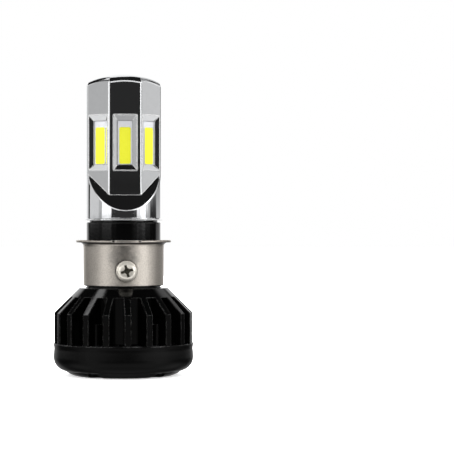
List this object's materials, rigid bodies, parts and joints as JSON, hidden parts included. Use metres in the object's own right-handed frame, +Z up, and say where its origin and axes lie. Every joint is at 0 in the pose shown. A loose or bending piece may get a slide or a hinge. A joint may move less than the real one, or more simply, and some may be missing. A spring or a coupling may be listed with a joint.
{
  "type": "led headlight bulb",
  "caption": "LED headlight bulb with a chromed windowed head, a turnable keyed lamp flange, a finned heat sink and a fan in its end cap.",
  "frame": {"origin": "on the bulb's axis, at the flat bottom of the end cap", "axes": "+Z up along the bulb's axis towards the domed head, -Y to the front, where the clamp screw and the lower row of windows are"},
  "size_m": [0.0368, 0.0368, 0.0792],
  "materials": {
    "black_gloss_paint": "gloss black paint on aluminium",
    "head_chrome": "bright chrome plate",
    "satin_nickel": "satin nickel plated steel sheet",
    "bright_nickel": "bright nickel plated steel",
    "dark_steel": "dark nickel plated steel",
    "cap_plastic": "satin moulded black plastic",
    "phosphor": "yellow phosphor in clear silicone",
    "led_ceramic": "white ceramic",
    "board_white": "white solder mask on aluminium board",
    "board_green": "green solder mask",
    "copper": "machined copper",
    "copper_winding": "enamelled copper wire",
    "bearing_bronze": "sintered bronze",
    "lamination_steel": "stacked steel laminations",
    "zinc_steel": "zinc plated steel",
    "black_steel": "blackened steel",
    "tin_plate": "tin plate",
    "ferrite": "sintered ferrite",
    "capacitor_can": "sleeved aluminium can",
    "chip_black": "epoxy moulding",
    "connector_white": "moulded nylon",
    "fan_plastic": "glass filled black plastic",
    "rubber": "soft black rubber",
    "wire_red": "insulated wire",
    "wire_black": "insulated wire"
  },
  "bodies": {
    "lamp": {"heat_sink": "black_gloss_paint", "head_shell_front": "head_chrome", "head_shell_rear": "head_chrome", "core_bar": "copper", "link_board": "board_white", "positive_feed_wire": "wire_red", "negative_feed_wire": "wire_black", "driver_board": "board_green", "driver_inductor": "ferrite", "driver_capacitors": "capacitor_can", "driver_chips": "chip_black", "input_connector": "connector_white", "connector_pins": "tin_plate", "board_screws": "zinc_steel", "fan_frame": "fan_plastic", "stator_core": "lamination_steel", "stator_coils": "copper_winding", "fan_bearing": "bearing_bronze", "fan_circuit_board": "board_green", "end_cap": "cap_plastic", "cap_screws": "black_steel", "cable_grommet": "rubber", "led_board_front_left": "board_white", "led_package_front_left": "led_ceramic", "phosphor_front_left": "phosphor", "led_board_front_centre": "board_white", "led_package_front_centre": "led_ceramic", "phosphor_front_centre": "phosphor", "led_board_front_right": "board_white", "led_package_front_right": "led_ceramic", "phosphor_front_right": "phosphor", "led_board_rear_right": "board_white", "led_package_rear_right": "led_ceramic", "phosphor_rear_right": "phosphor", "led_board_rear_centre": "board_white", "led_package_rear_centre": "led_ceramic", "phosphor_rear_centre": "phosphor", "led_board_rear_left": "board_white", "led_package_rear_left": "led_ceramic", "phosphor_rear_left": "phosphor"},
    "fan_rotor": {"fan_shaft": "zinc_steel", "rotor_yoke": "zinc_steel", "magnet_ring": "ferrite", "impeller": "fan_plastic"},
    "collar": {"collar": "satin_nickel", "clamp_nut": "dark_steel"},
    "screw_washer": {"lock_washer": "bright_nickel"},
    "clamp_screw": {"clamp_screw": "bright_nickel"}
  },
  "joints": [
    {"name": "fan_spin", "type": "hinge", "parent": "lamp", "child": "fan_rotor", "pos_m": [0, 0, 0.0045], "axis": [0, 0, 1], "continuous": true},
    {"name": "collar_turn", "type": "hinge", "parent": "lamp", "child": "collar", "pos_m": [0, 0, 0.03], "axis": [0, 0, 1], "continuous": true},
    {"name": "screw_travel", "type": "slide", "parent": "collar", "child": "screw_washer", "axis": [0, -1, 0], "range_m": [0, 0.0015]},
    {"name": "screw_turn", "type": "hinge", "parent": "screw_washer", "child": "clamp_screw", "pos_m": [0, -0.012, 0.02765], "axis": [0, -1, 0], "range_deg": [0, 1080]}
  ],
  "couplings": [
    {"joint": "screw_turn", "follows": "screw_travel", "rad_per_m": 12566}
  ]
}
